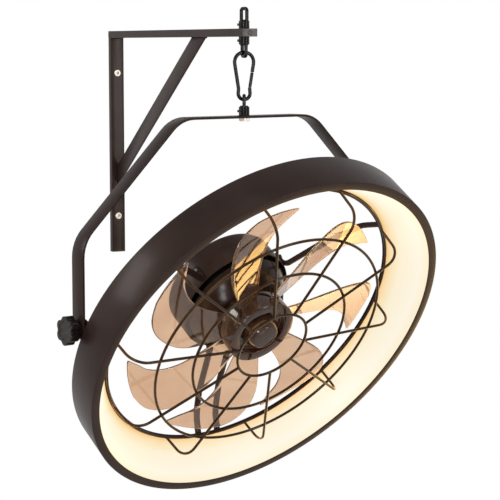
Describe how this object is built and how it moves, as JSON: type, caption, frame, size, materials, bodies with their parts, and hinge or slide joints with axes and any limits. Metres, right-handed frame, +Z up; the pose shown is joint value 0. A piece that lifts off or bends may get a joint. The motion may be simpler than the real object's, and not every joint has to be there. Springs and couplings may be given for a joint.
{
  "type": "wall fan with light",
  "caption": "Bracket-hung wall fan: tilting ring-light drum with a wire guard and clear paddle blades, in a bent yoke that hangs from a snap hook on a braced arm.",
  "frame": {"origin": "on the wall plane, midway between the two screw holes of the wall post", "axes": "+Z up, -Y out of the wall into the room, +X to the right of someone who faces the wall"},
  "size_m": [0.5292, 0.6343, 0.6256],
  "materials": {
    "bronze_paint": "satin dark bronze powder coat",
    "plug_plastic": "moulded grey",
    "pale_eyelet": "bright plated",
    "black_steel": "black plated, semi-gloss",
    "dark_screw": "blackened steel",
    "opal_diffuser": "opal, lit warm white",
    "board_white": "white solder mask",
    "chip_yellow": "phosphor",
    "guard_bronze": "bronze lacquered wire",
    "bare_steel": "ground",
    "stator_iron": "laminated",
    "bell_steel": "zinc plated",
    "cover_brown": "dark brown paint",
    "amber_plastic": "clear moulded amber",
    "smoke_plastic": "smoked, moulded",
    "knob_plastic": "moulded bronze-black"
  },
  "bodies": {
    "bracket": {"wall_post": "bronze_paint", "arm_bar": "bronze_paint", "brace_bar": "bronze_paint", "arm_end_plug": "plug_plastic", "post_end_plug": "plug_plastic", "screw_eyelets": "pale_eyelet"},
    "hanger": {"hanger_stem": "black_steel", "upper_collar": "black_steel", "upper_loop": "black_steel", "lower_collar": "black_steel", "lower_loop": "black_steel", "hanger_set_screws": "dark_screw"},
    "hook": {"snap_hook": "black_steel", "gate_pin": "black_steel"},
    "gate": {"hook_gate": "black_steel"},
    "yoke": {"yoke_bar": "bronze_paint", "yoke_stem": "black_steel", "yoke_nut": "pale_eyelet", "yoke_collar": "black_steel", "yoke_loop": "black_steel", "yoke_set_screw": "dark_screw"},
    "head": {"drum_shell": "bronze_paint", "back_plate": "bronze_paint", "light_diffuser": "opal_diffuser", "light_board": "board_white", "light_chips": "chip_yellow", "guard_cage": "guard_bronze", "motor_cup": "bronze_paint", "bearing_tube": "bare_steel", "rear_bearing": "bare_steel", "front_bearing": "bare_steel", "stator": "stator_iron", "right_motor_arm": "bronze_paint", "left_motor_arm": "bronze_paint", "lower_right_motor_arm": "bronze_paint", "lower_left_motor_arm": "bronze_paint", "motor_arm_screws": "dark_screw", "right_pivot_ear": "bronze_paint", "left_pivot_ear": "bronze_paint", "right_pivot_spacer": "dark_screw", "left_pivot_spacer": "dark_screw", "right_pivot_nut": "dark_screw", "left_pivot_nut": "dark_screw", "ear_screws": "dark_screw"},
    "rotor": {"motor_shaft": "bare_steel", "rotor_bell": "bell_steel", "rotor_cover": "cover_brown", "impeller": "amber_plastic", "hub_cap": "smoke_plastic"},
    "right_tilt_knob": {"right_knob": "knob_plastic", "right_stud": "dark_screw", "right_washer": "dark_screw"},
    "left_tilt_knob": {"left_knob": "knob_plastic", "left_stud": "dark_screw", "left_washer": "dark_screw"}
  },
  "joints": [
    {"name": "hanger_swivel", "type": "hinge", "parent": "bracket", "child": "hanger", "pos_m": [0, -0.4384, 0.156], "axis": [0, 0, 1], "continuous": true},
    {"name": "hook_swing", "type": "hinge", "parent": "hanger", "child": "hook", "pos_m": [0, -0.4384, 0.13165], "axis": [0, 1, 0], "range_deg": [-20, 20]},
    {"name": "gate_press", "type": "hinge", "parent": "hook", "child": "gate", "pos_m": [0.00834, -0.4384, 0.0952], "axis": [0, -1, 0], "range_deg": [0, 25], "stiffness_Nm_per_rad": 0.05, "springref_deg": -11.46},
    {"name": "yoke_swing", "type": "hinge", "parent": "hook", "child": "yoke", "pos_m": [0, -0.4384, 0.078], "axis": [1, 0, 0], "range_deg": [-20, 20]},
    {"name": "head_tilt", "type": "hinge", "parent": "yoke", "child": "head", "pos_m": [0, -0.4384, -0.1886], "axis": [0.9785, 0.2062, 0], "range_deg": [-31, 56]},
    {"name": "fan_spin", "type": "hinge", "parent": "head", "child": "rotor", "pos_m": [0, -0.4384, -0.1886], "axis": [0.1725, -0.8188, -0.5476], "continuous": true},
    {"name": "right_knob_turn", "type": "hinge", "parent": "yoke", "child": "right_tilt_knob", "pos_m": [0, -0.4384, -0.1886], "axis": [0.9785, 0.2062, 0], "range_deg": [0, 360]},
    {"name": "left_knob_turn", "type": "hinge", "parent": "yoke", "child": "left_tilt_knob", "pos_m": [0, -0.4384, -0.1886], "axis": [-0.9785, -0.2062, 0], "range_deg": [0, 360]}
  ]
}
